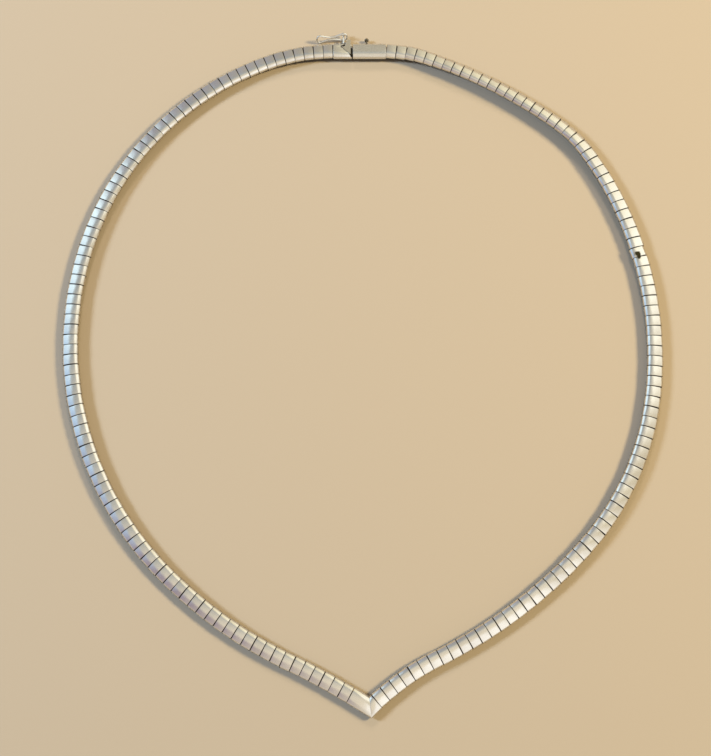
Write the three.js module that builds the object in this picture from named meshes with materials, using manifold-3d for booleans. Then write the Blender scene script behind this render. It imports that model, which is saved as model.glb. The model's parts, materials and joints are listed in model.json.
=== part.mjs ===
// A silver V-front collar necklace: two strands of narrow domed plates, mitred together at the front
// and shut at the back by a box clasp with a figure-eight safety catch. It lies flat, as on a cloth.
// Millimetres, +Z up from the surface under it, +Y from the front tip towards the clasp.
import * as THREE from 'three';
import { mergeVertices } from 'three/addons/utils/BufferGeometryUtils.js';
import Module from 'manifold-3d';

const wasm = await Module();
wasm.setup();

// Places seen from above, with the origin under the middle of the whole necklace.
const claspSlit = new THREE.Vector2(-2.31, 73.9);
const frontTip = new THREE.Vector2(1.59, -76.13);

const touchGap = 0.3;

// Cross-section shared by the plates and the clasp: a low dome on short side walls.
const section = { width: 3.9, height: 1.8, wallHeight: 0.5, footWidth: 3.44, fullness: 0.8 };
const plate = { pitch: 2.32, grooveWidth: 0.28, grooveDepth: 0.18 };

// A strand comes in this many lengths, each a few plates joined where they touch.
const lengthsPerStrand = 11;

// Each strand leaves the clasp straight, then bends by the given degrees over each run to the front tip.
// It leans outwards, with its inner edge raised, by the given degrees at each distance from the clasp.
const rightStrand = {
  side: 1,
  runs: [
    { length: 8, turn: 0 },
    { length: 9, turn: 19.5 },
    { length: 35, turn: 18 },
    { length: 12, turn: 20.5 },
    { length: 59, turn: 41.5 },
    { length: 37, turn: 33.5 },
    { length: 40, turn: 21.5 },
    { length: 18, turn: -18.5 },
  ],
  leans: [
    { at: 8, degrees: 12 },
    { at: 26, degrees: 31 },
    { at: 56, degrees: 31 },
    { at: 64, degrees: 21 },
    { at: 95, degrees: 12 },
  ],
};
const leftStrand = {
  side: -1,
  runs: [
    { length: 4.5, turn: 0 },
    { length: 16, turn: 21.5 },
    { length: 62, turn: 52.5 },
    { length: 81, turn: 61.5 },
    { length: 33, turn: 19.5 },
    { length: 20, turn: -6.5 },
  ],
  leans: [{ at: 0, degrees: 12 }],
};

// The front piece: how much of it is left of the mitre, and right of it, along the inner edge.
const front = { leftOfMitre: 3.3, rightOfMitre: 0.25 };

// The clasp. Its outlines are given as distance from the slit, positive towards the end cap, and across.
const clasp = { lean: 12, slitWidth: 0.3, capLength: 7.85, boxLength: 4.35, wall: 0.35, domeSteps: 12 };
const notch = {
  floor: 0.75,
  corners: [[1, -1.9], [1, 3], [-1.7, 3], [-1.7, 1.45], [-2.8, 1], [-2.8, 0.5], [-0.6, -1.6], [-0.35, -1.9]],
};
const tongue = {
  width: 2,
  leaf: 0.2,
  reach: 3.75,
  lowerLeaf: 0.55,
  upperLeaf: 0.85,
  fold: 0.3,
  rampFrom: 1.75,
  rampTo: 0.5,
  rootDepth: 0.5,
  socketPlay: 0.2,
};
const thumb = {
  thickness: 0.3,
  up: 1.15,
  corners: [[-0.4, -1.25], [-0.4, 2.8], [-0.6, 3.05], [-1.2, 3.05], [-1.4, 2.8], [-1.4, 1.3], [-2.2, 0.95],
    [-2.2, 0.55]],
};

// Headed studs: a shank, then a rounded head.
const stud = { shankRadius: 0.22, headRadius: 0.5, headLength: 0.6, rounding: 0.1, sides: 12 };
const pin = { fromSlit: -2.1, across: 2.05, up: 1.25, length: 2.45, tilt: 15 };
const peg = { fromSlit: 3.4, across: 2.15, up: 0.95, length: 1.15, tilt: 4 };

const catchEight = {
  halfLength: 3.58,
  waist: 0.32,
  loop: 1.88,
  wire: 0.22,
  hingeInset: 0.85,
  rings: 44,
  wireSides: 6,
};
const catchPose = { out: 1.45, lean: 24, yaw: 6 };

const silver = new THREE.MeshStandardMaterial({ color: '#c8c5bf', roughness: 0.28, metalness: 1 });
const brightSilver = new THREE.MeshStandardMaterial({ color: '#d3d1cc', roughness: 0.18, metalness: 1 });

const radians = THREE.MathUtils.degToRad;

// Distances along a strand, measured from the clasp slit.
function strandLength(strand) {
  return strand.runs.reduce((total, run) => total + run.length, 0);
}

// Where a distance along the chain of runs lies, before the chain is closed onto the front tip.
function chainPoint(strand, distance) {
  let x = 0;
  let y = 0;
  let heading = 0;
  let left = distance;
  for (const run of strand.runs) {
    const step = Math.min(left, run.length);
    const bend = radians(run.turn) * step / run.length;
    const chord = bend === 0 ? step : 2 * step * Math.sin(bend / 2) / bend;
    x += chord * Math.cos(heading + bend / 2);
    y -= chord * Math.sin(heading + bend / 2);
    heading += bend;
    left -= step;
  }
  return { x: x * strand.side, y, heading };
}

// The centre line seen from above. The small closing error is spread evenly along it.
function centreLine(strand, distance) {
  const here = chainPoint(strand, distance);
  const end = chainPoint(strand, strandLength(strand));
  const share = distance / strandLength(strand);
  return {
    x: claspSlit.x + here.x + share * (frontTip.x - claspSlit.x - end.x),
    y: claspSlit.y + here.y + share * (frontTip.y - claspSlit.y - end.y),
    along: new THREE.Vector2(strand.side * Math.cos(here.heading), -Math.sin(here.heading)),
    outwards: new THREE.Vector2(strand.side * Math.sin(here.heading), Math.cos(here.heading)),
  };
}

function leanAt(strand, distance) {
  const { leans } = strand;
  let lean = leans[0].degrees;
  for (let index = 1; index < leans.length; index += 1) {
    const before = leans[index - 1];
    const after = leans[index];
    const share = THREE.MathUtils.smoothstep(distance, before.at, after.at);
    lean += share * (after.degrees - before.degrees);
  }
  return lean;
}

// Outline of the cross-section from the outer wall over the dome to the inner wall, then the underside.
// Each point is a distance across, positive outwards, and a height above the underside.
function domedOutline(inset, domeSteps) {
  const halfWidth = section.width / 2 - inset;
  const rise = section.height - inset - section.wallHeight;
  const points = [];
  for (let step = 0; step <= domeSteps; step += 1) {
    const angle = Math.PI * step / domeSteps;
    const cosine = Math.cos(angle);
    const across = halfWidth * Math.sign(cosine) * Math.abs(cosine) ** section.fullness;
    const up = section.wallHeight + rise * Math.abs(Math.sin(angle)) ** section.fullness;
    points.push(new THREE.Vector2(across, up));
  }
  points.push(new THREE.Vector2(inset - section.footWidth / 2, inset));
  points.push(new THREE.Vector2(section.footWidth / 2 - inset, inset));
  return points;
}

// How far a leaning cross-section moves out and up, so that its outer foot just touches the surface.
function leanOffset(point, lean) {
  const angle = radians(lean);
  const lift = section.footWidth / 2 * Math.sin(angle);
  return {
    out: point.x * Math.cos(angle) + (point.y - section.height / 2) * Math.sin(angle),
    up: lift - point.x * Math.sin(angle) + point.y * Math.cos(angle),
  };
}

function ringAt(strand, distance, outline) {
  const centre = centreLine(strand, distance);
  const lean = leanAt(strand, distance);
  return outline.map((point) => {
    const offset = leanOffset(point, lean);
    return new THREE.Vector3(
      centre.x + centre.outwards.x * offset.out,
      centre.y + centre.outwards.y * offset.out,
      offset.up,
    );
  });
}

function signedVolume(positions, index) {
  const a = new THREE.Vector3();
  const b = new THREE.Vector3();
  const c = new THREE.Vector3();
  let volume = 0;
  for (let corner = 0; corner < index.length; corner += 3) {
    a.fromArray(positions, 3 * index[corner]);
    b.fromArray(positions, 3 * index[corner + 1]);
    c.fromArray(positions, 3 * index[corner + 2]);
    volume += a.dot(b.cross(c));
  }
  return volume;
}

// Skin over a row of rings with the same number of points: closed round, or with a flat face at each end.
function loft(rings, closedRound = false) {
  const sides = rings[0].length;
  const positions = rings.flat().flatMap((point) => point.toArray());
  const index = [];
  const spans = closedRound ? rings.length : rings.length - 1;
  for (let ring = 0; ring < spans; ring += 1) {
    const next = (ring + 1) % rings.length;
    for (let side = 0; side < sides; side += 1) {
      const turn = (side + 1) % sides;
      const corners = [ring * sides + side, ring * sides + turn, next * sides + turn, next * sides + side];
      index.push(corners[0], corners[1], corners[2], corners[0], corners[2], corners[3]);
    }
  }
  if (!closedRound) {
    const last = (rings.length - 1) * sides;
    for (let side = 1; side < sides - 1; side += 1) {
      index.push(0, side + 1, side);
      index.push(last, last + side, last + side + 1);
    }
  }
  if (signedVolume(positions, index) < 0) {
    index.reverse();
  }
  const geometry = new THREE.BufferGeometry();
  geometry.setAttribute('position', new THREE.Float32BufferAttribute(positions, 3));
  geometry.setIndex(index);
  geometry.computeVertexNormals();
  return geometry;
}

function toSolid(geometry) {
  const bare = geometry.clone();
  bare.deleteAttribute('normal');
  bare.deleteAttribute('uv');
  const merged = mergeVertices(bare, 1e-4);
  return new wasm.Manifold(new wasm.Mesh({
    numProp: 3,
    vertProperties: new Float32Array(merged.attributes.position.array),
    triVerts: new Uint32Array(merged.index.array),
  }));
}

function toGeometry(solid) {
  const mesh = solid.getMesh();
  const geometry = new THREE.BufferGeometry();
  geometry.setAttribute('position', new THREE.BufferAttribute(mesh.vertProperties, 3));
  geometry.setIndex(new THREE.BufferAttribute(mesh.triVerts, 1));
  geometry.computeVertexNormals();
  return geometry;
}

// A prism along X of an outline given as across and up.
function prismAlong(outline, from, to) {
  const geometry = new THREE.ExtrudeGeometry(new THREE.Shape(outline), {
    depth: to - from,
    bevelEnabled: false,
  });
  const turn = new THREE.Matrix4().makeBasis(
    new THREE.Vector3(0, 1, 0),
    new THREE.Vector3(0, 0, 1),
    new THREE.Vector3(1, 0, 0),
  );
  return geometry.applyMatrix4(turn).translate(from, 0, 0);
}

// A flat plate of an outline seen from above, between two heights.
function plateBetween(outline, from, to) {
  const geometry = new THREE.ExtrudeGeometry(new THREE.Shape(outline), {
    depth: to - from,
    bevelEnabled: false,
  });
  return geometry.translate(0, 0, from);
}

function outlineOf(corners) {
  return corners.map(([x, y]) => new THREE.Vector2(x, y));
}

// A few plates joined where they touch, with a groove between each two.
function platesGeometry(strand, from, pitch, count) {
  const full = domedOutline(0, 4);
  const groove = domedOutline(plate.grooveDepth, 4);
  const rings = [ringAt(strand, from, full)];
  for (let joint = 1; joint < count; joint += 1) {
    const middle = from + joint * pitch;
    rings.push(ringAt(strand, middle - plate.grooveWidth / 2, full));
    rings.push(ringAt(strand, middle, groove));
    rings.push(ringAt(strand, middle + plate.grooveWidth / 2, full));
  }
  rings.push(ringAt(strand, from + count * pitch - touchGap, full));
  return loft(rings);
}

// The mitre at the front halves the angle between the strands.
function frontMitre() {
  const toRight = centreLine(rightStrand, strandLength(rightStrand)).along.negate();
  const toLeft = centreLine(leftStrand, strandLength(leftStrand)).along.negate();
  const inwards = toRight.clone().add(toLeft).normalize();
  const halfAngle = Math.acos(toRight.dot(inwards));
  return { inwards, halfAngle };
}

// Distance from the tip, along a centre line, of the mitre's inner corner.
function mitreReach() {
  const innerWall = new THREE.Vector2(-section.width / 2, section.wallHeight);
  const inner = leanOffset(innerWall, leanAt(leftStrand, strandLength(leftStrand)));
  return -inner.out / Math.tan(frontMitre().halfAngle);
}

function mitreRing(outline) {
  const { inwards, halfAngle } = frontMitre();
  const lean = leanAt(leftStrand, strandLength(leftStrand));
  return outline.map((point) => {
    const offset = leanOffset(point, lean);
    const slide = -offset.out / Math.sin(halfAngle);
    return new THREE.Vector3(frontTip.x + inwards.x * slide, frontTip.y + inwards.y * slide, offset.up);
  });
}

function frontGeometry(leftCut, rightCut) {
  const outline = domedOutline(0, 8);
  return loft([
    ringAt(leftStrand, strandLength(leftStrand) - leftCut, outline),
    mitreRing(outline),
    ringAt(rightStrand, strandLength(rightStrand) - rightCut, outline),
  ]);
}

// The clasp parts lie in the clasp's own frame: X along it from the slit, Y outwards, Z off its underside.

// Closed end of the right strand, with a socket for the tongue's root.
function capGeometry() {
  const from = clasp.slitWidth / 2;
  const body = toSolid(prismAlong(domedOutline(0, clasp.domeSteps), from, from + clasp.capLength));
  const halfSocket = tongue.width / 2 + touchGap;
  const floor = tongue.lowerLeaf - tongue.socketPlay;
  const roof = tongue.lowerLeaf + tongue.leaf + tongue.socketPlay;
  const mouthOutline = outlineOf([
    [-halfSocket, floor],
    [halfSocket, floor],
    [halfSocket, roof],
    [-halfSocket, roof],
  ]);
  const depth = tongue.rootDepth + touchGap;
  const socket = toSolid(prismAlong(mouthOutline, from - 1, from + depth));
  return toGeometry(body.subtract(socket));
}

// Hollow end of the left strand, open at the slit, with a slanted notch for the thumb piece.
function boxGeometry() {
  const mouth = -clasp.slitWidth / 2;
  const back = mouth - clasp.boxLength;
  const body = toSolid(prismAlong(domedOutline(0, clasp.domeSteps), back, mouth));
  const inside = domedOutline(clasp.wall, clasp.domeSteps);
  const hollow = toSolid(prismAlong(inside, back + clasp.wall, mouth + 1));
  const cut = toSolid(plateBetween(outlineOf(notch.corners), notch.floor, section.height + 1));
  return toGeometry(body.subtract(hollow).subtract(cut));
}

// A strip folded back on itself, with a thumb piece that comes out through the notch.
function tongueGeometry() {
  const { leaf, lowerLeaf, upperLeaf, rampFrom, rampTo } = tongue;
  const root = clasp.slitWidth / 2 + tongue.rootDepth;
  const end = -tongue.reach;
  const corner = leaf / 2;
  const strip = outlineOf([
    [root, lowerLeaf],
    [root, lowerLeaf + leaf],
    [end + tongue.fold, lowerLeaf + leaf],
    [end + tongue.fold, upperLeaf],
    [-rampFrom, upperLeaf],
    [-rampTo, thumb.up - leaf / 2],
    [-rampTo, thumb.up + leaf / 2],
    [-rampFrom, upperLeaf + leaf],
    [end + corner, upperLeaf + leaf],
    [end, upperLeaf + corner],
    [end, lowerLeaf + corner],
    [end + corner, lowerLeaf],
  ]);
  const folded = new THREE.ExtrudeGeometry(new THREE.Shape(strip), {
    depth: tongue.width,
    bevelEnabled: false,
  });
  folded.rotateX(Math.PI / 2).translate(0, tongue.width / 2, 0);
  const low = thumb.up - thumb.thickness / 2;
  const thumbPiece = plateBetween(outlineOf(thumb.corners), low, low + thumb.thickness);
  return toGeometry(toSolid(folded).add(toSolid(thumbPiece)));
}

// A headed stud standing along +Z from the origin.
function studGeometry(length) {
  const { shankRadius, headRadius, headLength, rounding, sides } = stud;
  const headLow = length - headLength;
  const profile = outlineOf([
    [0, 0],
    [shankRadius, 0],
    [shankRadius, headLow],
    [headRadius - rounding, headLow + rounding],
    [headRadius, headLow + headLength / 2],
    [headRadius - rounding, length - rounding],
    [headRadius / 2, length],
    [0, length],
  ]);
  return new THREE.LatheGeometry(profile, sides).rotateX(Math.PI / 2);
}

// A pinched wire loop with two eyes, lying in the XY plane, its hinge at the origin and its far eye at -X.
function eightGeometry() {
  const { halfLength, waist, loop, wire, hingeInset, rings, wireSides } = catchEight;
  const spine = (turn) => {
    const reach = Math.cos(turn);
    const half = Math.sin(turn) * (waist + loop * reach * reach);
    return new THREE.Vector3(halfLength * reach - halfLength + hingeInset, half, 0);
  };
  const wireRings = [];
  for (let ring = 0; ring < rings; ring += 1) {
    const turn = 2 * Math.PI * ring / rings;
    const centre = spine(turn);
    const ahead = spine(turn + 0.01).sub(spine(turn - 0.01)).normalize();
    const aside = new THREE.Vector3(ahead.y, -ahead.x, 0);
    const wireRing = [];
    for (let side = 0; side < wireSides; side += 1) {
      const angle = 2 * Math.PI * side / wireSides;
      const rim = aside.clone().multiplyScalar(wire * Math.cos(angle));
      rim.z = wire * Math.sin(angle);
      wireRing.push(rim.add(centre));
    }
    wireRings.push(wireRing);
  }
  return loft(wireRings, true);
}

function addPiece(parent, name, geometry, material) {
  const piece = new THREE.Mesh(geometry, material.clone());
  piece.name = name;
  parent.add(piece);
  return piece;
}

const necklace = new THREE.Group();

function addStrand(name, strand, from, to) {
  const count = Math.round((to - from) / plate.pitch);
  const pitch = (to - from + touchGap) / count;
  for (let length = 0; length < lengthsPerStrand; length += 1) {
    const first = Math.round(count * length / lengthsPerStrand);
    const next = Math.round(count * (length + 1) / lengthsPerStrand);
    const plates = platesGeometry(strand, from + first * pitch, pitch, next - first);
    addPiece(necklace, `${name}_${String(length + 1).padStart(2, '0')}`, plates, silver);
  }
}

const rightCut = mitreReach() + front.rightOfMitre;
const leftCut = mitreReach() + front.leftOfMitre;
const rightStart = clasp.slitWidth / 2 + clasp.capLength + touchGap;
const leftStart = clasp.slitWidth / 2 + clasp.boxLength + touchGap;
const rightEnd = strandLength(rightStrand) - rightCut - touchGap;
const leftEnd = strandLength(leftStrand) - leftCut - touchGap;

addStrand('right_plates', rightStrand, rightStart, rightEnd);
addStrand('left_plates', leftStrand, leftStart, leftEnd);
addPiece(necklace, 'front_tip', frontGeometry(leftCut, rightCut), silver);

// The clasp leans outwards like the strands, about the slit.
const claspFrame = new THREE.Group();
const underside = leanOffset(new THREE.Vector2(0, 0), clasp.lean);
claspFrame.position.set(claspSlit.x, claspSlit.y + underside.out, underside.up);
claspFrame.rotation.x = -radians(clasp.lean);
necklace.add(claspFrame);

addPiece(claspFrame, 'end_cap', capGeometry(), silver);
addPiece(claspFrame, 'clasp_box', boxGeometry(), silver);
addPiece(claspFrame, 'clasp_tongue', tongueGeometry(), silver);

const catchPin = addPiece(claspFrame, 'catch_pin', studGeometry(pin.length), brightSilver);
catchPin.position.set(pin.fromSlit, pin.across, pin.up);
catchPin.rotation.x = -Math.PI / 2 + radians(pin.tilt);

const catchPeg = addPiece(claspFrame, 'catch_peg', studGeometry(peg.length), brightSilver);
catchPeg.position.set(peg.fromSlit, peg.across, peg.up);
catchPeg.rotation.x = -Math.PI / 2 + radians(peg.tilt);

// The figure eight hangs loosely round the pin, so it lies at its own lean, folded back along the box.
const pinMiddle = new THREE.Vector3(0, 0, catchPose.out).applyEuler(catchPin.rotation).add(catchPin.position);
const eightFrame = new THREE.Group();
eightFrame.position.copy(pinMiddle.applyEuler(claspFrame.rotation).add(claspFrame.position));
eightFrame.rotation.set(0, 0, radians(catchPose.yaw));
necklace.add(eightFrame);
const eight = addPiece(eightFrame, 'figure_eight_catch', eightGeometry(), brightSilver);
eight.rotation.x = Math.PI / 2 - radians(catchPose.lean);

export default necklace;
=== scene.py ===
import json
import math

import bmesh
import bpy
from mathutils import Matrix, Vector


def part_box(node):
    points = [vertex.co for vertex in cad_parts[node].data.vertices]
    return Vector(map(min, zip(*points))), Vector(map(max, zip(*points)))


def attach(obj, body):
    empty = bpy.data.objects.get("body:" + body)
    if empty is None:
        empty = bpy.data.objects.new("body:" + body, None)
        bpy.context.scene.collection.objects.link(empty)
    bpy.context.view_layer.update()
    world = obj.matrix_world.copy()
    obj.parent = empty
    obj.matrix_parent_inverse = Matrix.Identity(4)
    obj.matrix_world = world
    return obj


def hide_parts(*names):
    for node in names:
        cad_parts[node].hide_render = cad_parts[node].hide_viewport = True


# A silver V-front collar necklace, lying flat. Sizes in the dictionaries are in millimetres and degrees,
# every mesh is in metres in the frame's own place.
mm = 0.001

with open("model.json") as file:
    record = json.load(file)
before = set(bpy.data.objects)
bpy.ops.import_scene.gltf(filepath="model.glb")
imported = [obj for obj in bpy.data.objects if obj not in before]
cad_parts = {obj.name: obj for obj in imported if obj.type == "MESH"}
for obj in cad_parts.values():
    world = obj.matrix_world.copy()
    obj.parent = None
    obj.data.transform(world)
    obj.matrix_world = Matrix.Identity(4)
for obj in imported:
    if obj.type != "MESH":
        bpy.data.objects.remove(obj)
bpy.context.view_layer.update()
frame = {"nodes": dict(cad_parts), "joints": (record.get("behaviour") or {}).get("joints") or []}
print("frame loaded with", len(frame["nodes"]), "nodes")


# the cross-section that plates, cap, box and front share

section = {
    "width": 3.9,
    "height": 1.8,
    "wallHeight": 0.5,
    "footWidth": 3.44,
    "fullness": 0.7,  # under 1 squares the dome's shoulders
}


def domedOutline(inset, steps):
    # (across, up) from the outer wall over the dome to the inner wall, then the underside
    halfWidth = section["width"] / 2 - inset
    rise = section["height"] - inset - section["wallHeight"]
    points = []
    for step in range(steps + 1):
        angle = math.pi * step / steps
        reach = abs(math.cos(angle)) ** section["fullness"]
        across = halfWidth * math.copysign(reach, math.cos(angle))
        up = section["wallHeight"] + rise * abs(math.sin(angle)) ** section["fullness"]
        points.append((across, up))
    foot = section["footWidth"] / 2 - inset
    return points + [(-foot, inset), (foot, inset)]


def leanOffset(across, up, lean):
    # how far out and up a point of the section lies when the strand leans outwards on its outer foot
    angle = math.radians(lean)
    lift = section["footWidth"] / 2 * math.sin(angle)
    out = across * math.cos(angle) + (up - section["height"] / 2) * math.sin(angle)
    return out, lift - across * math.sin(angle) + up * math.cos(angle)


# the two strands' routes, seen from above

rightStrand = {
    "side": 1,
    "runs": [(8, 0), (9, 19.5), (35, 18), (12, 20.5), (59, 41.5), (37, 33.5), (40, 21.5), (18, -18.5)],
    "leans": [(8, 12), (26, 31), (56, 31), (64, 21), (95, 12)],
}
leftStrand = {
    "side": -1,
    "runs": [(4.5, 0), (16, 21.5), (62, 52.5), (81, 61.5), (33, 19.5), (20, -6.5)],
    "leans": [(0, 12)],
}
claspSizes = {"lean": 12, "slit": 0.3, "tipFromSlit": (3.9, -150.03), "steps": 12}

capLow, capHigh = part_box("end_cap")
boxLow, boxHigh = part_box("clasp_box")
capLength = (capHigh.x - capLow.x) / mm
boxLength = (boxHigh.x - boxLow.x) / mm
claspOutline = domedOutline(0, claspSizes["steps"])
widestOut = max(leanOffset(across, up, claspSizes["lean"])[0] for across, up in claspOutline)
slitPlace = Vector(((capLow.x + boxHigh.x) / 2 / mm, capHigh.y / mm - widestOut))
tipPlace = slitPlace + Vector(claspSizes["tipFromSlit"])


def strandLength(strand):
    return sum(length for length, _ in strand["runs"])


def chainPoint(strand, distance):
    x, y, heading, left = 0.0, 0.0, 0.0, distance
    for length, turn in strand["runs"]:
        step = min(left, length)
        bend = math.radians(turn) * step / length
        chord = step if bend == 0 else 2 * step * math.sin(bend / 2) / bend
        x += chord * math.cos(heading + bend / 2)
        y -= chord * math.sin(heading + bend / 2)
        heading += bend
        left -= step
    return Vector((x * strand["side"], y)), heading


def centreLine(strand, distance):
    # the small closing error at the tip is spread evenly along the strand
    here, heading = chainPoint(strand, distance)
    end, _ = chainPoint(strand, strandLength(strand))
    share = distance / strandLength(strand)
    place = slitPlace + here + share * (tipPlace - slitPlace - end)
    along = Vector((strand["side"] * math.cos(heading), -math.sin(heading)))
    outwards = Vector((strand["side"] * math.sin(heading), math.cos(heading)))
    return place, along, outwards


def leanAt(strand, distance):
    leans = strand["leans"]
    lean = leans[0][1]
    for (startAt, before), (endAt, after) in zip(leans, leans[1:]):
        share = min(1.0, max(0.0, (distance - startAt) / (endAt - startAt)))
        lean += share * share * (3 - 2 * share) * (after - before)
    return lean


def ringAt(strand, distance, outline):
    place, _, outwards = centreLine(strand, distance)
    lean = leanAt(strand, distance)
    ring = []
    for across, up in outline:
        out, height = leanOffset(across, up, lean)
        spot = place + outwards * out
        ring.append(Vector((spot.x, spot.y, height)) * mm)
    return ring


# mesh helpers

def newObject(name, mesh):
    piece = bpy.data.objects.new(name, mesh)
    bpy.context.scene.collection.objects.link(piece)
    return piece


meshSizes = {"sharpOver": 40, "mergeWithin": 1e-8}  # degrees, and metres


def meshFrom(name, points, faces):
    mesh = bpy.data.meshes.new(name)
    mesh.from_pydata([tuple(p) for p in points], [], faces)
    shaped = bmesh.new()
    shaped.from_mesh(mesh)
    bmesh.ops.remove_doubles(shaped, verts=shaped.verts, dist=meshSizes["mergeWithin"])
    bmesh.ops.recalc_face_normals(shaped, faces=shaped.faces)
    for face in shaped.faces:
        face.smooth = True
    for edge in shaped.edges:
        edge.smooth = edge.calc_face_angle(0) < math.radians(meshSizes["sharpOver"])
    shaped.to_mesh(mesh)
    shaped.free()
    return mesh


def loftFaces(ringCount, sides):
    faces = []
    for ring in range(ringCount - 1):
        here = ring * sides
        after = here + sides
        for side in range(sides):
            turn = (side + 1) % sides
            faces.append((here + side, here + turn, after + turn, after + side))
    faces.append(tuple(range(sides)))
    faces.append(tuple(range((ringCount - 1) * sides, ringCount * sides)))
    return faces


def loft(name, rings):
    points = [point for ring in rings for point in ring]
    return meshFrom(name, points, loftFaces(len(rings), len(rings[0])))


def finishPiece(source, name, material, body, slotName, *nodes):
    # the evaluated result becomes a plain mesh, and the working object goes
    depsgraph = bpy.context.evaluated_depsgraph_get()
    mesh = bpy.data.meshes.new_from_object(source.evaluated_get(depsgraph))
    mesh.name = name
    mesh.materials.clear()
    mesh.materials.append(material)
    bpy.data.objects.remove(source)
    piece = newObject(name, mesh)
    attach(piece, body)
    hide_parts(*nodes)
    print(name, "has", len(mesh.polygons), "faces")
    return piece


# node helpers

def addNode(tree, kind, **settings):
    node = tree.nodes.new(kind)
    for key, value in settings.items():
        setattr(node, key, value)
    return node


def mathNode(tree, operation, first, second=None, third=None, clamp=False):
    node = addNode(tree, "ShaderNodeMath", operation=operation, use_clamp=clamp)
    for socket, value in zip(node.inputs, (first, second, third)):
        if isinstance(value, (int, float)):
            socket.default_value = value
        elif value is not None:
            tree.links.new(value, socket)
    return node.outputs[0]


def rangeNode(tree, value, fromLow, fromHigh):
    node = addNode(tree, "ShaderNodeMapRange", interpolation_type="SMOOTHSTEP")
    tree.links.new(value, node.inputs["Value"])
    node.inputs["From Min"].default_value = fromLow
    node.inputs["From Max"].default_value = fromHigh
    return node.outputs["Result"]


def colourMix(tree, share, first, second):
    node = addNode(tree, "ShaderNodeMix", data_type="RGBA")
    sockets = (node.inputs[0], node.inputs[6], node.inputs[7])
    for socket, value in zip(sockets, (share, first, second)):
        if isinstance(value, tuple):
            socket.default_value = (*value, 1.0)
        elif isinstance(value, (int, float)):
            socket.default_value = value
        else:
            tree.links.new(value, socket)
    return node.outputs[2]


def noiseNode(tree, vector, scale, detail=2.0, roughness=0.5, stretch=(1, 1, 1)):
    mapping = addNode(tree, "ShaderNodeMapping")
    mapping.inputs["Scale"].default_value = stretch
    tree.links.new(vector, mapping.inputs["Vector"])
    noise = addNode(tree, "ShaderNodeTexNoise")
    noise.inputs["Scale"].default_value = scale
    noise.inputs["Detail"].default_value = detail
    noise.inputs["Roughness"].default_value = roughness
    tree.links.new(mapping.outputs[0], noise.inputs["Vector"])
    return noise.outputs["Fac"]


def addSockets(tree, kinds):
    for label, kind in kinds.items():
        tree.interface.new_socket(name=label, in_out="INPUT", socket_type="NodeSocket" + kind)
    tree.interface.new_socket(name="Geometry", in_out="OUTPUT", socket_type="NodeSocketGeometry")
    return addNode(tree, "NodeGroupInput").outputs


def newMaterial(name):
    material = bpy.data.materials.new(name)
    material.use_nodes = True
    tree = material.node_tree
    shader = tree.nodes["Principled BSDF"]
    shader.inputs["Metallic"].default_value = 1.0
    return material, tree, shader


def bumpInto(tree, shader, height, look):
    bump = addNode(tree, "ShaderNodeBump")
    bump.inputs["Strength"].default_value = look["bump"]
    bump.inputs["Distance"].default_value = look["bumpHeight"] * mm
    tree.links.new(height, bump.inputs["Height"])
    tree.links.new(bump.outputs[0], shader.inputs["Normal"])


# silver of the plates: bright, finely scratched, with painted shade in the grooves and low on the walls,
# each plate a little different

plateLook = {
    "bright": (0.86, 0.85, 0.82),
    "worn": (0.70, 0.68, 0.66),
    # colour of the painted shade in the grooves and low on the walls
    "paintedShade": (0.10, 0.085, 0.075),
    "soil": (0.10, 0.085, 0.04),
    "soilPlace": (62.5, 23.2, 1.9),
    "soilRadius": 0.98,
    "soilInner": 0.6,  # share of the radius that is wholly covered
    "soilRagged": 1.6,
    "soilRoughness": 0.85,
    "blotchScale": 900,
    "blotchSpread": 0.05,
    "shadedEnds": (1.055, 1.10),  # distance from the plate's middle
    "shadedFoot": (0.75, 0.1),  # height on the wall
    "footShare": 0.75,
    "wearScale": 260,
    "toneShare": 0.5,
    "wearShare": 0.5,
    "scratchStretch": (0.8, 14, 14),
    "smoothest": 0.11,
    "scratchRoughness": 0.14,
    "paintedShadeRoughness": 0.55,
    "dentScale": 700,
    "scratchRelief": 0.25,
    "bump": 0.6,
    "bumpHeight": 0.04,
}


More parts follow.
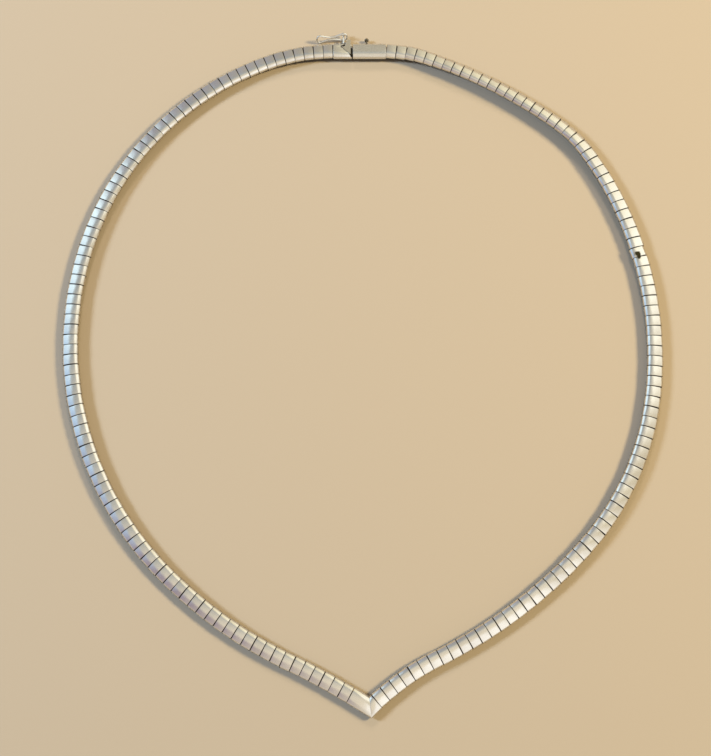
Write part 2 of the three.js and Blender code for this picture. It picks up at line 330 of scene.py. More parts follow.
def makePlateSilver():
    look = plateLook
    material, tree, shader = newMaterial("plateSilver")
    place = addNode(tree, "ShaderNodeAttribute", attribute_name="platePlace").outputs["Vector"]
    tone = addNode(tree, "ShaderNodeAttribute", attribute_name="plateTone").outputs["Fac"]
    coords = addNode(tree, "ShaderNodeTexCoord").outputs["Object"]
    split = addNode(tree, "ShaderNodeSeparateXYZ")
    tree.links.new(place, split.inputs[0])
    fromMiddle = mathNode(tree, "ABSOLUTE", split.outputs["X"])

    # painted shade: the plate's ends at the grooves and the low part of its walls are darkened where shade
    # falls
    blotches = noiseNode(tree, coords, look["blotchScale"], detail=3)
    spread = mathNode(tree, "MULTIPLY", blotches, look["blotchSpread"])
    nearEnd = rangeNode(tree, mathNode(tree, "ADD", fromMiddle, spread), *look["shadedEnds"])
    nearFoot = rangeNode(tree, split.outputs["Z"], *look["shadedFoot"])
    paintedShade = mathNode(tree, "MAXIMUM", nearEnd, mathNode(tree, "MULTIPLY", nearFoot, look["footShare"]))

    # one dark spot of soil caught on the inner edge
    soilDistance = addNode(tree, "ShaderNodeVectorMath", operation="DISTANCE")
    tree.links.new(coords, soilDistance.inputs[0])
    soilDistance.inputs[1].default_value = Vector(look["soilPlace"]) * mm
    ragged = mathNode(tree, "MULTIPLY_ADD", blotches, look["soilRagged"] * mm, -look["soilRagged"] / 2 * mm)
    fromSoil = mathNode(tree, "ADD", soilDistance.outputs["Value"], ragged)
    outerEdge = look["soilRadius"] * mm
    soil = rangeNode(tree, fromSoil, outerEdge, outerEdge * look["soilInner"])

    worn = noiseNode(tree, coords, look["wearScale"], detail=4, roughness=0.6)
    wear = mathNode(tree, "MULTIPLY", worn, look["wearShare"])
    shade = mathNode(tree, "MULTIPLY_ADD", tone, look["toneShare"], wear, clamp=True)
    metal = colourMix(tree, shade, look["bright"], look["worn"])
    shadedMetal = colourMix(tree, paintedShade, metal, look["paintedShade"])
    tree.links.new(colourMix(tree, soil, shadedMetal, look["soil"]), shader.inputs["Base Color"])

    scratches = noiseNode(tree, place, 1.0, detail=3, roughness=0.7, stretch=look["scratchStretch"])
    gloss = mathNode(tree, "MULTIPLY_ADD", scratches, look["scratchRoughness"], look["smoothest"])
    dullShade = mathNode(tree, "MULTIPLY", paintedShade, look["paintedShadeRoughness"])
    dullSoil = mathNode(tree, "MULTIPLY", soil, look["soilRoughness"])
    dull = mathNode(tree, "MAXIMUM", dullShade, dullSoil)
    tree.links.new(mathNode(tree, "MAXIMUM", gloss, dull), shader.inputs["Roughness"])

    dents = noiseNode(tree, coords, look["dentScale"], detail=2)
    scratchRelief = mathNode(tree, "MULTIPLY", scratches, look["scratchRelief"])
    bumpInto(tree, shader, mathNode(tree, "ADD", dents, scratchRelief), look)
    return material


# silver of the clasp: polished along its length

claspLook = {
    "bright": (0.84, 0.83, 0.80),
    "worn": (0.66, 0.64, 0.61),
    "wearScale": 500,
    "scratchStretch": (350, 6000, 6000),
    "smoothest": 0.16,
    "scratchRoughness": 0.22,
    "bump": 0.35,
    "bumpHeight": 0.01,
}


def makeClaspSilver():
    look = claspLook
    material, tree, shader = newMaterial("claspSilver")
    coords = addNode(tree, "ShaderNodeTexCoord").outputs["Object"]
    scratches = noiseNode(tree, coords, 1.0, detail=4, roughness=0.7, stretch=look["scratchStretch"])
    worn = noiseNode(tree, coords, look["wearScale"], detail=4, roughness=0.65)
    tree.links.new(colourMix(tree, worn, look["bright"], look["worn"]), shader.inputs["Base Color"])
    gloss = mathNode(tree, "MULTIPLY_ADD", scratches, look["scratchRoughness"], look["smoothest"])
    tree.links.new(gloss, shader.inputs["Roughness"])
    bumpInto(tree, shader, scratches, look)
    return material


tongueLook = {
    "bright": (0.84, 0.82, 0.74),
    "worn": (0.66, 0.62, 0.54),
    # colour of the painted shade low on the tongue, inside the box
    "paintedShade": (0.07, 0.06, 0.045),
    "shadeUpTo": (0.90, 1.02),
    "wearScale": 600,
    "smoothest": 0.16,
    "wearRoughness": 0.2,
    "paintedShadeRoughness": 0.25,
    "bump": 0.3,
    "bumpHeight": 0.01,
}


def makeTongueSilver():
    # the thumb piece is bright; the folded strip below it, inside the box, is painted dark as painted shade
    look = tongueLook
    material, tree, shader = newMaterial("tongueSilver")
    coords = addNode(tree, "ShaderNodeTexCoord").outputs["Object"]
    lean = math.radians(claspSizes["lean"])
    upwards = addNode(tree, "ShaderNodeVectorMath", operation="DOT_PRODUCT")
    tree.links.new(coords, upwards.inputs[0])
    upwards.inputs[1].default_value = (0, math.sin(lean), math.cos(lean))
    lowest = slitPlace.y * math.sin(lean) - section["height"] / 2 * math.sin(lean) ** 2
    lowest += section["footWidth"] / 2 * math.sin(lean) * math.cos(lean)
    low, high = [(lowest + up) * mm for up in look["shadeUpTo"]]
    worn = noiseNode(tree, coords, look["wearScale"], detail=4, roughness=0.65)
    metal = colourMix(tree, worn, look["bright"], look["worn"])
    paintedShade = rangeNode(tree, upwards.outputs["Value"], high, low)
    tree.links.new(colourMix(tree, paintedShade, metal, look["paintedShade"]), shader.inputs["Base Color"])
    dull = mathNode(tree, "MULTIPLY_ADD", paintedShade, look["paintedShadeRoughness"], look["smoothest"])
    gloss = mathNode(tree, "MULTIPLY_ADD", worn, look["wearRoughness"], dull)
    tree.links.new(gloss, shader.inputs["Roughness"])
    bumpInto(tree, shader, worn, look)
    return material


# the peg is painted dark as painted shade, since it sits in shade; this is not the silver's own colour
pegShadeLook = {
    "bright": (0.26, 0.23, 0.17),
    "worn": (0.12, 0.10, 0.08),
    "wearScale": 1800,
    "wearDetail": 4,
    "wearGrain": 0.65,
    "smoothest": 0.25,
    "wearRoughness": 0.25,
    "bump": 0.4,
    "bumpHeight": 0.01,
}
wireLook = {
    "bright": (0.90, 0.90, 0.88),
    "worn": (0.72, 0.71, 0.69),
    "wearScale": 1500,
    "wearDetail": 3,
    "wearGrain": 0.6,
    "smoothest": 0.08,
    "wearRoughness": 0.18,
    "bump": 0.3,
    "bumpHeight": 0.01,
}


def makeWornSilver(name, look):
    material, tree, shader = newMaterial(name)
    coords = addNode(tree, "ShaderNodeTexCoord").outputs["Object"]
    worn = noiseNode(tree, coords, look["wearScale"], detail=look["wearDetail"], roughness=look["wearGrain"])
    tree.links.new(colourMix(tree, worn, look["bright"], look["worn"]), shader.inputs["Base Color"])
    gloss = mathNode(tree, "MULTIPLY_ADD", worn, look["wearRoughness"], look["smoothest"])
    tree.links.new(gloss, shader.inputs["Roughness"])
    bumpInto(tree, shader, worn, look)
    return material


plateSilver = makePlateSilver()
claspSilver = makeClaspSilver()
tongueSilver = makeTongueSilver()
pegShadedSilver = makeWornSilver("pegShadedSilver", pegShadeLook)
wireSilver = makeWornSilver("wireSilver", wireLook)
print("silver finishes ready")


# where the strands begin and end

frontSizes = {
    "leftOfMitre": 3.3,
    "rightOfMitre": 0.25,
    "bevel": 0.07,
    "edgeDrop": 0.1,
    "slack": 0.09,
    "seam": 0.06,  # half the width of the groove along the mitre
    "seamDrop": 0.12,
    "seamShadePlace": 1.16,  # a place past a plate's end, where the plates' finish paints shade
    "seamReach": 0.015,
    "tone": 0.5,
    "steps": 24,
}


def frontMitre():
    rightEnd = centreLine(rightStrand, strandLength(rightStrand))[1]
    leftEnd = centreLine(leftStrand, strandLength(leftStrand))[1]
    inwards = (-rightEnd - leftEnd).normalized()
    return inwards, math.acos(-rightEnd.dot(inwards))


tipLean = leanAt(leftStrand, strandLength(leftStrand))
mitreInwards, mitreHalfAngle = frontMitre()
innerOut = leanOffset(-section["width"] / 2, section["wallHeight"], tipLean)[0]
mitreReach = -innerOut / math.tan(mitreHalfAngle)
leftCut = mitreReach + frontSizes["leftOfMitre"]
rightCut = mitreReach + frontSizes["rightOfMitre"]


# plates

plateSizes = {
    "platesPerRow": 89,
    "routePointsPerMillimetre": 2,
    "gap": 0.11,
    "bevel": 0.05,
    "edgeDrop": 0.10,  # how far the bevelled edge drops below the plate's face
    "neck": 0.3,  # the stepped-down end that slides under the next plate
    "neckDrop": 0.26,
    "slack": 0.085,  # keeps a turned plate inside the strand's own outline
    "shoulder": 0.22,  # a soft slope beside each bevel
    "shoulderDrop": 0.022,
    "domeSteps": 8,
    "play": 0.05,  # left free at each end of a row
    "turn": 1.5,
    "turnShares": (0.5, 1, 1),  # of the turn, about the plate's own axes
    "slide": 0.035,
    "kink": 3.0,
    "kinkSlide": -0.22,
}


def makePlate(length):
    sizes = plateSizes
    half = length / 2
    bevelled = half - sizes["bevel"]
    flat = bevelled - sizes["shoulder"]
    stations = [
        (-half, sizes["edgeDrop"]),
        (-bevelled, sizes["shoulderDrop"]),
        (-flat, 0),
        (flat, 0),
        (bevelled, sizes["shoulderDrop"]),
        (half, sizes["edgeDrop"]),
        (half, sizes["neckDrop"]),
        (half + sizes["neck"], sizes["neckDrop"]),
    ]
    rings = []
    for x, drop in stations:
        outline = domedOutline(drop + sizes["slack"], sizes["domeSteps"])
        rings.append([Vector((x, across, up)) * mm for across, up in outline])
    plate = newObject("onePlate", loft("onePlate", rings))
    places = plate.data.attributes.new("platePlace", "FLOAT_VECTOR", "POINT")
    for vertex, place in zip(plate.data.vertices, places.data):
        place.vector = vertex.co / mm
    return plate


def makeRoute(name, strand, first, last, reverse):
    # a fine polyline through the plates' own origins, with the lean kept at each point
    steps = plateSizes["routePointsPerMillimetre"] * math.ceil(last - first)
    points, leans = [], []
    for step in range(steps + 1):
        distance = first + (last - first) * step / steps
        lean = leanAt(strand, distance)
        place, _, outwards = centreLine(strand, distance)
        out, height = leanOffset(0, 0, lean)
        spot = place + outwards * out
        points.append(Vector((spot.x, spot.y, height)) * mm)
        leans.append(math.radians(lean))
    if reverse:
        points.reverse()
        leans.reverse()
    mesh = bpy.data.meshes.new(name)
    mesh.from_pydata([tuple(p) for p in points], [(i, i + 1) for i in range(steps)], [])
    mesh.attributes.new("lean", "FLOAT", "POINT").data.foreach_set("value", leans)
    return newObject(name, mesh)


def buildPlateRow():
    tree = bpy.data.node_groups.new("plateRow", "GeometryNodeTree")
    inputs = addSockets(tree, {
        "Geometry": "Geometry",
        "Plate": "Object",
        "Plates": "Int",
        "Turn": "Float",
        "Slide": "Float",
        "Kinked plate": "Int",
        "Kink": "Float",
        "Kink slide": "Float",
        "Seed": "Int",
        "Finish": "Material",
    })
    link = tree.links.new

    curve = addNode(tree, "GeometryNodeMeshToCurve")
    spaced = addNode(tree, "GeometryNodeResampleCurve", mode="COUNT")
    link(inputs["Geometry"], curve.inputs[0])
    link(curve.outputs[0], spaced.inputs["Curve"])
    link(inputs["Plates"], spaced.inputs["Count"])

    # a plate's x runs along the strand, then it leans outwards
    facing = addNode(tree, "FunctionNodeAlignRotationToVector", axis="X", pivot_axis="Z")
    link(addNode(tree, "GeometryNodeInputTangent").outputs[0], facing.inputs["Vector"])
    lean = addNode(tree, "GeometryNodeInputNamedAttribute", data_type="FLOAT")
    lean.inputs["Name"].default_value = "lean"
    down = mathNode(tree, "MULTIPLY", lean.outputs["Attribute"], -1.0)
    leanTurn = addNode(tree, "ShaderNodeCombineXYZ")
    link(down, leanTurn.inputs["X"])
    leaning = addNode(tree, "FunctionNodeRotateRotation", rotation_space="LOCAL")
    link(facing.outputs[0], leaning.inputs[0])
    link(leanTurn.outputs[0], leaning.inputs[1])

    # each plate sits a little askew, and one of them is kinked
    askew = addNode(tree, "FunctionNodeRandomValue", data_type="FLOAT_VECTOR")
    askew.inputs[0].default_value = [-share for share in plateSizes["turnShares"]]
    askew.inputs[1].default_value = plateSizes["turnShares"]
    link(inputs["Seed"], askew.inputs["Seed"])
    scaled = addNode(tree, "ShaderNodeVectorMath", operation="SCALE")
    link(askew.outputs[0], scaled.inputs[0])
    link(inputs["Turn"], scaled.inputs["Scale"])
    kinked = addNode(tree, "FunctionNodeCompare", data_type="INT", operation="EQUAL")
    link(addNode(tree, "GeometryNodeInputIndex").outputs[0], kinked.inputs[2])
    link(inputs["Kinked plate"], kinked.inputs[3])
    kinkTurn = addNode(tree, "ShaderNodeCombineXYZ")
    link(mathNode(tree, "MULTIPLY", kinked.outputs[0], inputs["Kink"]), kinkTurn.inputs["Z"])
    together = addNode(tree, "ShaderNodeVectorMath", operation="ADD")
    link(scaled.outputs[0], together.inputs[0])
    link(kinkTurn.outputs[0], together.inputs[1])
    settled = addNode(tree, "FunctionNodeRotateRotation", rotation_space="LOCAL")
    link(leaning.outputs[0], settled.inputs[0])
    link(together.outputs[0], settled.inputs[1])

    plate = addNode(tree, "GeometryNodeObjectInfo")
    plate.inputs["As Instance"].default_value = True
    link(inputs["Plate"], plate.inputs["Object"])
    placed = addNode(tree, "GeometryNodeInstanceOnPoints")
    link(spaced.outputs[0], placed.inputs["Points"])
    link(plate.outputs["Geometry"], placed.inputs["Instance"])
    link(settled.outputs[0], placed.inputs["Rotation"])

    drift = addNode(tree, "FunctionNodeRandomValue", data_type="FLOAT")
    drift.inputs[2].default_value = -1.0
    link(mathNode(tree, "ADD", inputs["Seed"], 2), drift.inputs["Seed"])
    wander = mathNode(tree, "MULTIPLY", drift.outputs[1], inputs["Slide"])
    kinkSlide = mathNode(tree, "MULTIPLY", kinked.outputs[0], inputs["Kink slide"])
    aside = mathNode(tree, "ADD", wander, kinkSlide)
    sideways = addNode(tree, "ShaderNodeCombineXYZ")
    link(aside, sideways.inputs["Y"])
    slid = addNode(tree, "GeometryNodeTranslateInstances")
    slid.inputs["Local Space"].default_value = True
    link(placed.outputs[0], slid.inputs["Instances"])
    link(sideways.outputs[0], slid.inputs["Translation"])

    tone = addNode(tree, "FunctionNodeRandomValue", data_type="FLOAT")
    link(mathNode(tree, "ADD", inputs["Seed"], 1), tone.inputs["Seed"])
    toned = addNode(tree, "GeometryNodeStoreNamedAttribute", data_type="FLOAT", domain="INSTANCE")
    toned.inputs["Name"].default_value = "plateTone"
    link(slid.outputs[0], toned.inputs["Geometry"])
    link(tone.outputs["Value"], toned.inputs["Value"])
    real = addNode(tree, "GeometryNodeRealizeInstances")
    link(toned.outputs[0], real.inputs[0])
    finish = addNode(tree, "GeometryNodeSetMaterial")
    link(real.outputs[0], finish.inputs["Geometry"])
    link(inputs["Finish"], finish.inputs["Material"])
    link(finish.outputs[0], addNode(tree, "NodeGroupOutput").inputs[0])
    return tree


def addNodesModifier(target, tree, values):
    modifier = target.modifiers.new(tree.name, "NODES")
    modifier.node_group = tree
    for item in tree.interface.items_tree:
        if item.in_out == "INPUT" and item.name in values:
            modifier[item.identifier] = values[item.name]
    return modifier


plateRow = buildPlateRow()


rowSeeds = {"right": 7, "left": 19}
kinkedPlates = {"right": 34, "left": -1}  # counted from the row's start, -1 for none


def makeRow(name, strand, firstEdge, lastEdge, seed, kinkedPlate):
    count = plateSizes["platesPerRow"]
    pitch = (lastEdge - firstEdge) / count
    plate = makePlate(pitch - plateSizes["gap"])
    reverse = strand["side"] < 0
    route = makeRoute(name + "Route", strand, firstEdge + pitch / 2, lastEdge - pitch / 2, reverse)
    addNodesModifier(route, plateRow, {
        "Plate": plate,
        "Plates": count,
        "Turn": math.radians(plateSizes["turn"]),
        "Slide": plateSizes["slide"] * mm,
        "Kinked plate": kinkedPlate,
        "Kink": math.radians(plateSizes["kink"]),
        "Kink slide": plateSizes["kinkSlide"] * mm,
        "Seed": seed,
        "Finish": plateSilver,
    })
    nodes = [node for node in sorted(frame["nodes"]) if node.startswith(name)]
    piece = finishPiece(route, name, plateSilver, "collar", "plate_silver", *nodes)
    bpy.data.objects.remove(plate)
    return piece


rightFirst = claspSizes["slit"] / 2 + capLength + plateSizes["play"]
leftFirst = claspSizes["slit"] / 2 + boxLength + plateSizes["play"]
rightLast = strandLength(rightStrand) - rightCut - plateSizes["play"]
leftLast = strandLength(leftStrand) - leftCut - plateSizes["play"]
makeRow("right_plates", rightStrand, rightFirst, rightLast, rowSeeds["right"], kinkedPlates["right"])
makeRow("left_plates", leftStrand, leftFirst, leftLast, rowSeeds["left"], kinkedPlates["left"])


# front tip: two arms mitred together

def mitreRing(outline, backAlong=Vector((0, 0))):
    ring = []
    for across, up in outline:
        out, height = leanOffset(across, up, tipLean)
        spot = tipPlace + mitreInwards * (-out / math.sin(mitreHalfAngle)) - backAlong * frontSizes["seam"]
        ring.append(Vector((spot.x, spot.y, height)) * mm)
    return ring


def paintSeamShade(mesh):
    # painted shade along the mitre groove: the plates' finish paints shade where platePlace runs past a
    # plate's end, so the groove gets it that way
    acrossSeam = Vector((mitreInwards.y, -mitreInwards.x))
    places = mesh.attributes.new("platePlace", "FLOAT_VECTOR", "POINT")
    for vertex, place in zip(mesh.vertices, places.data):
        fromSeam = abs((vertex.co.xy / mm - tipPlace).dot(acrossSeam))
        inSeam = fromSeam < frontSizes["seamReach"]
        place.vector = (frontSizes["seamShadePlace"] if inSeam else 0, 0, vertex.co.z / mm)
    tones = mesh.attributes.new("plateTone", "FLOAT", "POINT")
    tones.data.foreach_set("value", [frontSizes["tone"]] * len(mesh.vertices))


def makeFront():
    sizes = frontSizes
    face = domedOutline(sizes["slack"], sizes["steps"])
    edge = domedOutline(sizes["edgeDrop"], sizes["steps"])
    leftEnd = strandLength(leftStrand) - leftCut
    rightEnd = strandLength(rightStrand) - rightCut
    rings = [
        ringAt(leftStrand, leftEnd, edge),
        ringAt(leftStrand, leftEnd + sizes["bevel"], face),
        mitreRing(face, centreLine(leftStrand, strandLength(leftStrand))[1]),
        mitreRing(domedOutline(sizes["seamDrop"], sizes["steps"])),
        mitreRing(face, centreLine(rightStrand, strandLength(rightStrand))[1]),
        ringAt(rightStrand, rightEnd + sizes["bevel"], face),
        ringAt(rightStrand, rightEnd, edge),
    ]
    source = newObject("frontSource", loft("front", rings))
    paintSeamShade(source.data)
    return finishPiece(source, "mitred_front", plateSilver, "collar", "plate_silver", "front_tip")


makeFront()


# clasp

def claspPoint(x, across, up):
    # x runs along the clasp from the slit, towards the end cap
    out, height = leanOffset(across, up, claspSizes["lean"])
    return Vector((slitPlace.x + x, slitPlace.y + out, height)) * mm


def claspRing(x, outline):
    return [claspPoint(x, across, up) for across, up in outline]


capSizes = {"bevel": 0.1, "edgeDrop": 0.1, "wall": 0.35, "socketDepth": 1.0, "steps": 32}
boxSizes = {
    "bevel": 0.08,
    "edgeDrop": 0.08,
    "cutBevel": 0.04,
    "wall": 0.3,
    "steps": 32,
    "notchFloor": 0.75,
    "notchOvershoot": 1,
    "notch": [
        (1, -1.9), (1, 3), (-1.7, 3), (-1.7, 1.45),
        (-2.8, 1), (-2.8, 0.5), (-0.6, -1.6), (-0.35, -1.9),
    ],
}
tongueSizes = {
    "width": 2.0,
    "leaf": 0.2,
    "reach": 3.75,
    "lowerLeaf": 0.55,
    "upperLeaf": 0.85,
    "rootDepth": 0.8,
    "straightTo": -1.0,
    "rampFrom": -1.75,
    "rampTo": -0.5,
    "foldSteps": 6,
    "bevel": 0.05,
}
thumbSizes = {
    "thickness": 0.3,
    "up": 1.15,
    "corners": [
        (-0.4, -1.25), (-0.4, 2.8), (-0.6, 3.05), (-1.2, 3.05),
        (-1.4, 2.8), (-1.4, 1.3), (-2.2, 0.95), (-2.2, 0.55),
    ],
}


def makeCap():
    sizes = capSizes
    start = claspSizes["slit"] / 2
    end = start + capLength
    face = domedOutline(0, sizes["steps"])
    edge = domedOutline(sizes["edgeDrop"], sizes["steps"])
    inside = domedOutline(sizes["wall"], sizes["steps"])
    rings = [
        claspRing(end, edge),
        claspRing(end - sizes["bevel"], face),
        claspRing(start + sizes["bevel"] / 2, face),
        claspRing(start, domedOutline(sizes["edgeDrop"] / 2, sizes["steps"])),
        claspRing(start, inside),
        claspRing(start + sizes["socketDepth"], inside),
    ]
    source = newObject("capSource", loft("cap", rings))
    return finishPiece(source, "smooth_cap", claspSilver, "collar", "clasp_silver", "end_cap")


def prism(name, corners, low, high):
    # a flat plate of an outline seen from above in the clasp's own frame, between two heights
    rings = [[claspPoint(x, across, up) for x, across in corners] for up in (low, high)]
    return newObject(name, loft(name, rings))


def bevelEdges(target, width):
    bevel = target.modifiers.new("softEdges", "BEVEL")
    bevel.width = width * mm
    bevel.segments = 2
    bevel.limit_method = "ANGLE"
    bevel.angle_limit = math.radians(meshSizes["sharpOver"])
    bevel.harden_normals = False


def cutOrJoin(target, tool, operation):
    boolean = target.modifiers.new(operation.lower(), "BOOLEAN")
    boolean.operation = operation
    boolean.object = tool
    boolean.solver = "EXACT"


def makeBox():
    sizes = boxSizes
    mouth = -claspSizes["slit"] / 2
    back = mouth - boxLength
    face = domedOutline(0, sizes["steps"])
    inside = domedOutline(sizes["wall"], sizes["steps"])
    rings = [
        claspRing(back, domedOutline(sizes["edgeDrop"], sizes["steps"])),
        claspRing(back + sizes["bevel"], face),
        claspRing(mouth, face),
        claspRing(mouth, inside),
        claspRing(back + sizes["wall"], inside),
    ]
    source = newObject("boxSource", loft("box", rings))
    notchTop = section["height"] + sizes["notchOvershoot"]
    notch = prism("notchCut", sizes["notch"], sizes["notchFloor"], notchTop)
    cutOrJoin(source, notch, "DIFFERENCE")
    bevelEdges(source, sizes["cutBevel"])
    piece = finishPiece(source, "notched_box", claspSilver, "collar", "clasp_silver", "clasp_box")
    bpy.data.objects.remove(notch)
    return piece


def makeTongue():
    # a strip that runs out of the cap, folds back on itself inside the box and rises to the thumb piece
    sizes = tongueSizes
    root = claspSizes["slit"] / 2 + sizes["rootDepth"]
    lower = sizes["lowerLeaf"] + sizes["leaf"] / 2
    upper = sizes["upperLeaf"] + sizes["leaf"] / 2
    middle, radius = (lower + upper) / 2, (upper - lower) / 2
    foldAt = -sizes["reach"] + radius + sizes["leaf"] / 2
    route = [(root, lower), (sizes["straightTo"], lower), (foldAt, lower)]
    for step in range(1, sizes["foldSteps"]):
        angle = math.pi * step / sizes["foldSteps"]
        route.append((foldAt - radius * math.sin(angle), middle - radius * math.cos(angle)))
    route += [(foldAt, upper), (sizes["rampFrom"], upper), (sizes["rampTo"], thumbSizes["up"])]
    halfLeaf, halfWidth = sizes["leaf"] / 2, sizes["width"] / 2
    rings = []
    for place, (x, up) in enumerate(route):
        before, after = route[max(place - 1, 0)], route[min(place + 1, len(route) - 1)]
        ahead = Vector((after[0] - before[0], after[1] - before[1])).normalized()
        aside = Vector((-ahead.y, ahead.x)) * halfLeaf
        ring = [(x + aside.x, -halfWidth, up + aside.y), (x + aside.x, halfWidth, up + aside.y),
                (x - aside.x, halfWidth, up - aside.y), (x - aside.x, -halfWidth, up - aside.y)]
        rings.append([claspPoint(*corner) for corner in ring])
    strip = newObject("stripSource", loft("strip", rings))
    half = thumbSizes["thickness"] / 2
    thumb = prism("thumbPiece", thumbSizes["corners"], thumbSizes["up"] - half, thumbSizes["up"] + half)
    cutOrJoin(strip, thumb, "UNION")
    bevelEdges(strip, sizes["bevel"])
    piece = finishPiece(strip, "folded_tongue", tongueSilver, "collar", "clasp_silver", "clasp_tongue")
    bpy.data.objects.remove(thumb)
    return piece


makeCap()
makeBox()
makeTongue()


# pin, peg and figure-eight catch

studSizes = {
    "shankRadius": 0.22,
    "headFoot": 0.24,
    "headRadius": 0.5,
    "headLength": 0.6,
    "headFullness": 0.6,
    "axisRadius": 0.0001,  # the ends close round this
    "sides": 24,
    "roundSteps": 8,
}
pinSizes = {"fromSlit": -2.1, "across": 1.9, "up": 1.21, "length": 2.59, "tilt": 15}
pegSizes = {"fromSlit": 3.4, "across": 2.0, "up": 0.95, "length": 1.3, "tilt": 4}


def makeStud(name, sizes, material, node):
    # a shank and a rounded head, turned about the stud's own axis
    length, head = sizes["length"], studSizes["headLength"]
    profile = [(0.0, 0.0), (studSizes["shankRadius"], 0.0), (studSizes["shankRadius"], length - head)]
    for step in range(studSizes["roundSteps"] + 1):
        angle = math.pi * step / studSizes["roundSteps"]
        bulge = abs(math.sin(angle)) ** studSizes["headFullness"]
        radius = studSizes["headFoot"]
        if step < studSizes["roundSteps"]:
            radius += (studSizes["headRadius"] - studSizes["headFoot"]) * bulge
        profile.append((radius, length - head / 2 - head / 2 * math.cos(angle)))
    profile.append((0.0, length))
    tilt = math.radians(sizes["tilt"])
    outwards = Vector((0, math.cos(tilt), math.sin(tilt)))
    upwards = Vector((0, -math.sin(tilt), math.cos(tilt)))
    foot = Vector((sizes["fromSlit"], sizes["across"], sizes["up"]))
    rings = []
    for radius, along in profile:
        ring = []
        for side in range(studSizes["sides"]):
            angle = 2 * math.pi * side / studSizes["sides"]
            spot = foot + outwards * along
            around = Vector((1, 0, 0)) * math.cos(angle) + upwards * math.sin(angle)
            spot += around * max(radius, studSizes["axisRadius"])
            ring.append(claspPoint(*spot))
        rings.append(ring)
    source = newObject(name + "Source", loft(name, rings))
    return finishPiece(source, name, material, "collar", "clasp_silver", node)


makeStud("hinge_pin", pinSizes, wireSilver, "catch_pin")
makeStud("closing_peg", pegSizes, pegShadedSilver, "catch_peg")

eightSizes = {
    "halfLength": 3.58,
    "waist": 0.32,
    "loop": 1.88,
    "wire": 0.22,
    "hingeInset": 0.85,
    "yaw": 6,
    "points": 96,
    "wireSides": 12,
}


def buildWireLoop():
    tree = bpy.data.node_groups.new("wireLoop", "GeometryNodeTree")
    inputs = addSockets(tree, {
        "Geometry": "Geometry",
        "Wire radius": "Float",
        "Sides": "Int",
        "Finish": "Material",
    })
    link = tree.links.new
    curve = addNode(tree, "GeometryNodeMeshToCurve")
    link(inputs["Geometry"], curve.inputs[0])
    circle = addNode(tree, "GeometryNodeCurvePrimitiveCircle")
    link(inputs["Sides"], circle.inputs["Resolution"])
    link(inputs["Wire radius"], circle.inputs["Radius"])
    tube = addNode(tree, "GeometryNodeCurveToMesh")
    link(curve.outputs[0], tube.inputs["Curve"])
    link(circle.outputs["Curve"], tube.inputs["Profile Curve"])
    smooth = addNode(tree, "GeometryNodeSetShadeSmooth")
    link(tube.outputs[0], smooth.inputs["Geometry"])
    real = addNode(tree, "GeometryNodeRealizeInstances")
    link(smooth.outputs[0], real.inputs[0])
    finish = addNode(tree, "GeometryNodeSetMaterial")
    link(real.outputs[0], finish.inputs["Geometry"])
    link(inputs["Finish"], finish.inputs["Material"])
    link(finish.outputs[0], addNode(tree, "NodeGroupOutput").inputs[0])
    return tree


def makeEight():
    # it hangs on the frame's own joint, folded back along the box
    sizes = eightSizes
    joint = frame["joints"][0]
    normal = -Vector(joint["axis"]).normalized()
    yaw = math.radians(sizes["yaw"])
    lengthwise = Vector((math.cos(yaw), math.sin(yaw), 0))
    lengthwise = (lengthwise - normal * lengthwise.dot(normal)).normalized()
    sideways = normal.cross(lengthwise)
    hinge = Vector(joint["pos_m"])
    points = []
    for step in range(sizes["points"]):
        turn = 2 * math.pi * step / sizes["points"]
        reach = math.cos(turn)
        half = math.sin(turn) * (sizes["waist"] + sizes["loop"] * reach * reach)
        along = sizes["halfLength"] * reach - sizes["halfLength"] + sizes["hingeInset"]
        points.append(hinge + (lengthwise * along + sideways * half) * mm)
    mesh = bpy.data.meshes.new("eightRoute")
    count = sizes["points"]
    mesh.from_pydata([tuple(p) for p in points], [(i, (i + 1) % count) for i in range(count)], [])
    source = newObject("eightRoute", mesh)
    addNodesModifier(source, buildWireLoop(), {
        "Wire radius": sizes["wire"] * mm,
        "Sides": sizes["wireSides"],
        "Finish": wireSilver,
    })
    return finishPiece(source, "wire_eight", wireSilver, "safety_catch", "wire_silver", "figure_eight_catch")


makeEight()
print("pieces made")


# floor, light and camera

studio = {
    "floorSize": 3.0,
    "floorColour": (0.125, 0.099, 0.071),
    "floorRoughness": 0.95,
    "lampDistance": 0.9,
    # compass degrees from +X towards +Y, height, size, power, colour
    "lamps": {
        "warmLamp": (14, 36, 0.18, 36.0, (1.0, 0.86, 0.52)),
        "coolLamp": (168, 31, 0.18, 35.0, (0.56, 0.74, 1.0)),
        "northLamp": (92, 33, 0.18, 10.0, (1.0, 0.92, 0.82)),
    },
    "overheadAxis": (-0.12, 0.02, 0.993),
    "overheadFrom": (0.83, 0.91),
    "shadeTowards": (0.5, -0.86, 0.0),
    "shadeSpan": (-0.65, 0.5),
    "overheadShade": (0.38, 0.42, 0.43),
    "overheadLight": (1.0, 0.88, 0.67),
}
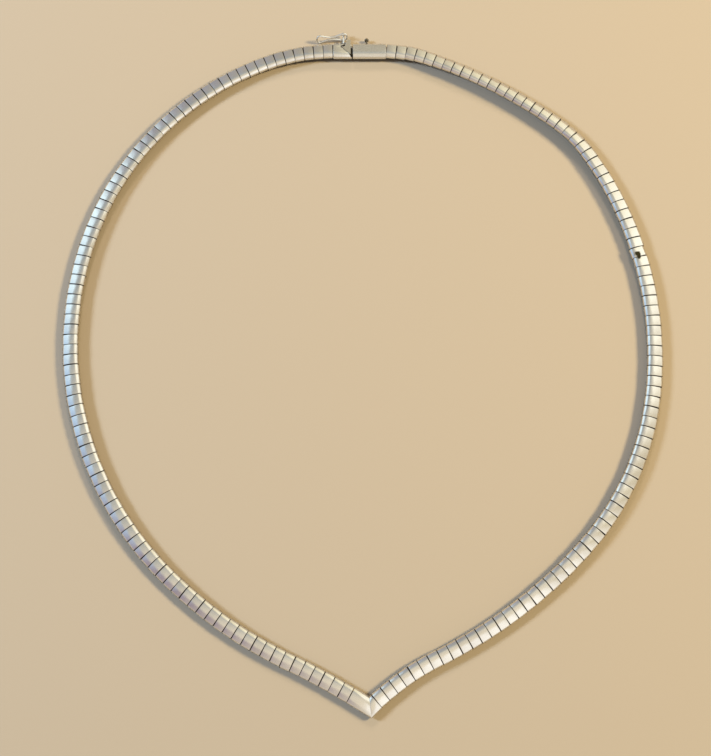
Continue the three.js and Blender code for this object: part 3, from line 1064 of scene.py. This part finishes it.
# the room's light round the compass, west first, then by the south
roomColours = [
    (0.0, (0.55, 0.75, 1.0)),  # west
    (0.1, (0.4, 0.33, 0.38)),  # west-south-west
    (0.22, (0.8, 0.7, 0.55)),  # south-south-west
    (0.37, (1.3, 1.25, 1.15)),  # south-east
    (0.47, (0.75, 0.65, 0.45)),  # east
    (0.58, (1.4, 1.35, 1.15)),  # east-north-east
    (0.68, (1.1, 1.0, 0.7)),  # north-east
    (0.75, (0.5, 0.45, 0.35)),  # north
    (0.84, (0.4, 0.4, 0.45)),  # north-north-west
    (0.9, (1.1, 1.35, 1.45)),  # north-west
]
cameraPose = {
    "place": (-1.55, -61.27, 265.27),
    "tilt": 12,
    "lens": 57.7,
    "sensor": 36,
    "nearest": 10,
}


def directionShare(tree, direction, axis):
    share = addNode(tree, "ShaderNodeVectorMath", operation="DOT_PRODUCT")
    tree.links.new(direction, share.inputs[0])
    share.inputs[1].default_value = axis
    return share.outputs["Value"]


def lightRoom():
    world = bpy.data.worlds.new("softRoom")
    bpy.context.scene.world = world
    world.use_nodes = True
    tree = world.node_tree
    background = tree.nodes["Background"]
    direction = addNode(tree, "ShaderNodeTexCoord").outputs["Generated"]
    compass = addNode(tree, "ShaderNodeTexGradient", gradient_type="RADIAL")
    tree.links.new(direction, compass.inputs[0])
    ramp = addNode(tree, "ShaderNodeValToRGB")
    stops = roomColours + [(1.0, roomColours[0][1])]
    for number, (place, colour) in enumerate(stops):
        stop = ramp.color_ramp.elements[number] if number < 2 else ramp.color_ramp.elements.new(place)
        stop.position = place
        stop.color = (*colour, 1)
    tree.links.new(compass.outputs["Fac"], ramp.inputs[0])
    towardsTop = directionShare(tree, direction, studio["overheadAxis"])
    overhead = rangeNode(tree, towardsTop, *studio["overheadFrom"])
    brighter = rangeNode(tree, directionShare(tree, direction, studio["shadeTowards"]), *studio["shadeSpan"])
    ceiling = colourMix(tree, brighter, studio["overheadShade"], studio["overheadLight"])
    tree.links.new(colourMix(tree, overhead, ramp.outputs[0], ceiling), background.inputs["Color"])


def addLamp(name, compass, height, size, power, colour):
    data = bpy.data.lights.new(name, "AREA")
    data.shape = "DISK"
    data.size = size
    data.energy = power
    data.color = colour
    lamp = bpy.data.objects.new(name, data)
    bpy.context.scene.collection.objects.link(lamp)
    turn, rise = math.radians(compass), math.radians(height)
    towards = Vector((math.cos(turn) * math.cos(rise), math.sin(turn) * math.cos(rise), math.sin(rise)))
    lamp.location = towards * studio["lampDistance"]
    lamp.rotation_euler = towards.to_track_quat("Z", "Y").to_euler()
    return lamp


def addLamps():
    for name, (compass, height, size, power, colour) in studio["lamps"].items():
        lamp = addLamp(name, compass, height, size, power, colour)
        lamp.visible_glossy = False  # the silver shows the room, not the lamps


def makeFloor():
    half = studio["floorSize"] / 2
    mesh = bpy.data.meshes.new("floor")
    corners = [(-half, -half, 0), (half, -half, 0), (half, half, 0), (-half, half, 0)]
    mesh.from_pydata(corners, [], [(0, 1, 2, 3)])
    floor = newObject("floor", mesh)
    material, _, shader = newMaterial("paleFloor")
    shader.inputs["Metallic"].default_value = 0
    shader.inputs["Base Color"].default_value = (*studio["floorColour"], 1)
    shader.inputs["Roughness"].default_value = studio["floorRoughness"]
    mesh.materials.append(material)


def makeCamera():
    data = bpy.data.cameras.new("camera")
    data.lens = cameraPose["lens"]
    data.sensor_width = cameraPose["sensor"]
    data.clip_start = cameraPose["nearest"] * mm
    camera = bpy.data.objects.new("camera", data)
    bpy.context.scene.collection.objects.link(camera)
    camera.location = Vector(cameraPose["place"]) * mm
    camera.rotation_euler = (math.radians(cameraPose["tilt"]), 0, 0)
    bpy.context.scene.camera = camera


lightRoom()
addLamps()
makeFloor()
makeCamera()
bpy.context.scene.view_settings.view_transform = "Standard"
print("studio ready")
